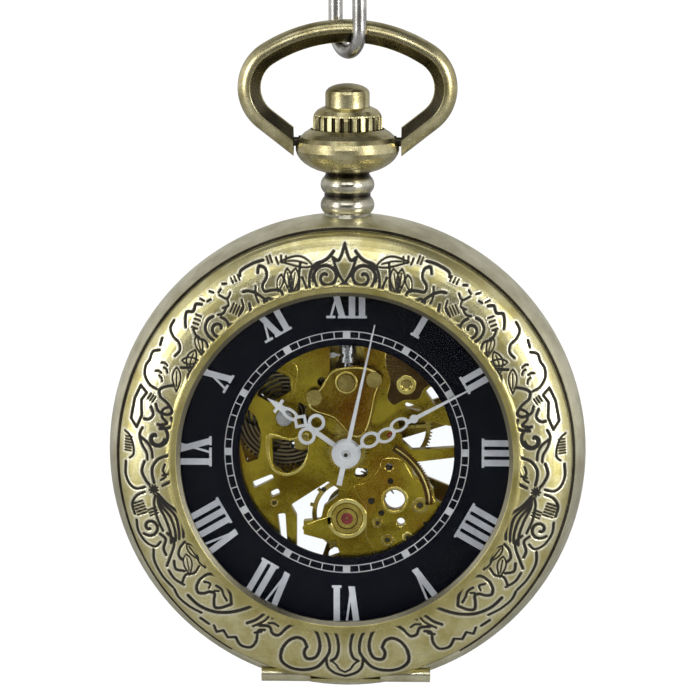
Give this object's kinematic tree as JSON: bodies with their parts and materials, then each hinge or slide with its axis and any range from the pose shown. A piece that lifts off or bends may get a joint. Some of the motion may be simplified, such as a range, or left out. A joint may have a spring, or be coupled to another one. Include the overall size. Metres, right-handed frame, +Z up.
{
  "type": "pocket watch",
  "caption": "Hanging pocket watch with a hinged glazed cover, a ring dial of Roman numerals round an openworked movement, a fluted crown, an oval bow and a short chain swivel.",
  "frame": {"origin": "centre of the bore of the hanging eye, the point the watch hangs from", "axes": "+Z up along the pendant; the dial faces -Y; +X is to the right when the dial is read"},
  "size_m": [0.047, 0.0142, 0.0868],
  "materials": {
    "antique_brass": "satin",
    "gilt_movement": "satin",
    "polished_steel": "polished",
    "blued_steel": "polished",
    "dark_chain": "satin",
    "silver_hands": "satin",
    "black_dial": "matt",
    "ruby": "polished",
    "clear_glass": "polished"
  },
  "bodies": {
    "eye": {"hanging_eye": "dark_chain"},
    "swivel": {"swivel_stirrup": "dark_chain"},
    "link": {"chain_link": "dark_chain"},
    "bow": {"bow": "antique_brass"},
    "case": {"case_middle": "antique_brass", "case_hinge": "antique_brass", "hinge_pin": "polished_steel", "inner_bezel": "antique_brass", "crystal": "clear_glass", "dial_ring": "black_dial", "minute_track": "silver_hands", "dial_numerals": "silver_hands", "movement_ring": "gilt_movement", "case_screws": "polished_steel", "back_cover": "antique_brass", "back_glass": "clear_glass", "main_plate": "gilt_movement", "barrel_bridge": "gilt_movement", "train_bridge": "gilt_movement", "balance_cock": "gilt_movement", "pallet_bridge": "gilt_movement", "keyless_bridge": "gilt_movement", "bridge_screws": "polished_steel", "train_jewels": "ruby", "balance_jewel": "ruby", "regulator": "polished_steel", "crown_wheel_core": "polished_steel", "pendant_ball": "antique_brass", "pendant_neck": "antique_brass", "bow_pins": "polished_steel", "hairspring": "blued_steel"},
    "lid": {"front_lid": "antique_brass", "lid_glass": "clear_glass"},
    "winding": {"winding_arbor": "polished_steel"},
    "crown": {"crown": "antique_brass", "case_stem": "polished_steel", "button_spring": "polished_steel"},
    "button": {"crown_button": "antique_brass"},
    "catch": {"lid_catch": "polished_steel"},
    "sliding": {"sliding_pinion": "polished_steel"},
    "yoke": {"yoke": "polished_steel"},
    "crown_wheel": {"crown_wheel": "gilt_movement"},
    "ratchet": {"ratchet_wheel": "polished_steel", "barrel_arbor": "polished_steel"},
    "click": {"click": "polished_steel"},
    "barrel": {"barrel_drum": "gilt_movement", "mainspring": "blued_steel"},
    "minute_wheel": {"minute_wheel": "gilt_movement"},
    "hours": {"hour_wheel": "gilt_movement", "hour_hand": "silver_hands"},
    "centre": {"centre_wheel": "gilt_movement", "cannon_pinion": "polished_steel", "minute_hand": "silver_hands"},
    "third": {"third_wheel": "gilt_movement"},
    "fourth": {"fourth_wheel": "gilt_movement", "seconds_hand": "silver_hands"},
    "escape": {"escape_wheel": "polished_steel"},
    "pallet": {"pallet_fork": "polished_steel", "pallet_stones": "ruby"},
    "balance": {"balance_wheel": "gilt_movement"}
  },
  "joints": [
    {"name": "swivel_turn", "type": "hinge", "parent": "eye", "child": "swivel", "pos_m": [0, 0, -0.0092], "axis": [0, 0, 1], "continuous": true},
    {"name": "link_swing", "type": "hinge", "parent": "swivel", "child": "link", "pos_m": [0, 0, -0.0137], "axis": [0.8387, 0.5446, 0], "range_deg": [-45, 45]},
    {"name": "bow_on_link", "type": "hinge", "parent": "link", "child": "bow", "pos_m": [0, 0, -0.0186], "axis": [1, 0, 0], "range_deg": [-45, 45]},
    {"name": "bow_swing", "type": "hinge", "parent": "bow", "child": "case", "pos_m": [0, 0, -0.0295], "axis": [1, 0, 0], "range_deg": [-85, 85]},
    {"name": "lid_hinge", "type": "hinge", "parent": "case", "child": "lid", "pos_m": [0, -0.0038, -0.0819], "axis": [1, 0, 0], "range_deg": [0, 95]},
    {"name": "crown_turn", "type": "hinge", "parent": "case", "child": "winding", "pos_m": [0, 0, -0.048], "axis": [0, 0, 1], "continuous": true},
    {"name": "crown_pull", "type": "slide", "parent": "winding", "child": "crown", "axis": [0, 0, 1], "range_m": [0, 0.001]},
    {"name": "button_push", "type": "slide", "parent": "crown", "child": "button", "axis": [0, 0, -1], "range_m": [0, 0.0005], "stiffness_N_per_m": 400, "deforming": ["button_spring"]},
    {"name": "catch_slide", "type": "slide", "parent": "case", "child": "catch", "axis": [0, 0, -1], "range_m": [0, 0.00012]},
    {"name": "sliding_pinion_slide", "type": "slide", "parent": "winding", "child": "sliding", "axis": [0, 0, -1], "range_m": [0, 0.0008]},
    {"name": "yoke_pivot", "type": "hinge", "parent": "case", "child": "yoke", "pos_m": [-0.0036, 0, -0.051], "axis": [0, 1, 0], "range_deg": [0, 17]},
    {"name": "crown_wheel_turn", "type": "hinge", "parent": "case", "child": "crown_wheel", "pos_m": [0, 0, -0.05174], "axis": [0, 1, 0], "continuous": true},
    {"name": "ratchet_turn", "type": "hinge", "parent": "case", "child": "ratchet", "pos_m": [-0.0062, 0, -0.0568], "axis": [0, 1, 0], "continuous": true},
    {"name": "click_pivot", "type": "hinge", "parent": "case", "child": "click", "pos_m": [-0.0117, 0, -0.05362], "axis": [0, 1, 0], "range_deg": [-8, 0]},
    {"name": "minute_turn", "type": "hinge", "parent": "case", "child": "centre", "pos_m": [0, 0, -0.06], "axis": [0, 1, 0], "continuous": true},
    {"name": "hour_turn", "type": "hinge", "parent": "case", "child": "hours", "pos_m": [0, 0, -0.06], "axis": [0, 1, 0], "continuous": true},
    {"name": "minute_wheel_turn", "type": "hinge", "parent": "case", "child": "minute_wheel", "pos_m": [0.00062, 0, -0.05768], "axis": [0, 1, 0], "continuous": true},
    {"name": "third_wheel_turn", "type": "hinge", "parent": "case", "child": "third", "pos_m": [0.00423, 0, -0.05846], "axis": [0, 1, 0], "continuous": true},
    {"name": "seconds_turn", "type": "hinge", "parent": "case", "child": "fourth", "pos_m": [0, 0, -0.06], "axis": [0, 1, 0], "continuous": true},
    {"name": "escape_turn", "type": "hinge", "parent": "case", "child": "escape", "pos_m": [0.00327, 0, -0.06294], "axis": [0, 1, 0], "continuous": true},
    {"name": "barrel_turn", "type": "hinge", "parent": "case", "child": "barrel", "pos_m": [-0.0062, 0, -0.0568], "axis": [0, 1, 0], "continuous": true},
    {"name": "pallet_rock", "type": "hinge", "parent": "case", "child": "pallet", "pos_m": [0.0017, 0, -0.06479], "axis": [0, 1, 0], "range_deg": [-5, 5]},
    {"name": "balance_swing", "type": "hinge", "parent": "case", "child": "balance", "pos_m": [0, 0, -0.0668], "axis": [0, 1, 0], "range_deg": [-220, 220], "stiffness_Nm_per_rad": 0.0000003, "deforming": ["hairspring"]}
  ],
  "couplings": [
    {"joint": "hour_turn", "follows": "minute_turn", "ratio": 0.083333},
    {"joint": "minute_wheel_turn", "follows": "minute_turn", "ratio": -0.33333},
    {"joint": "third_wheel_turn", "follows": "minute_turn", "ratio": -8},
    {"joint": "seconds_turn", "follows": "minute_turn", "ratio": 60},
    {"joint": "escape_turn", "follows": "minute_turn", "ratio": -600},
    {"joint": "barrel_turn", "follows": "minute_turn", "ratio": -0.14286},
    {"joint": "crown_wheel_turn", "follows": "crown_turn", "ratio": -0.44444},
    {"joint": "ratchet_turn", "follows": "crown_turn", "ratio": 0.25},
    {"joint": "catch_slide", "follows": "button_push", "ratio": 0.24},
    {"joint": "sliding_pinion_slide", "follows": "crown_pull", "ratio": 0.8},
    {"joint": "yoke_pivot", "follows": "crown_pull", "rad_per_m": 290}
  ]
}
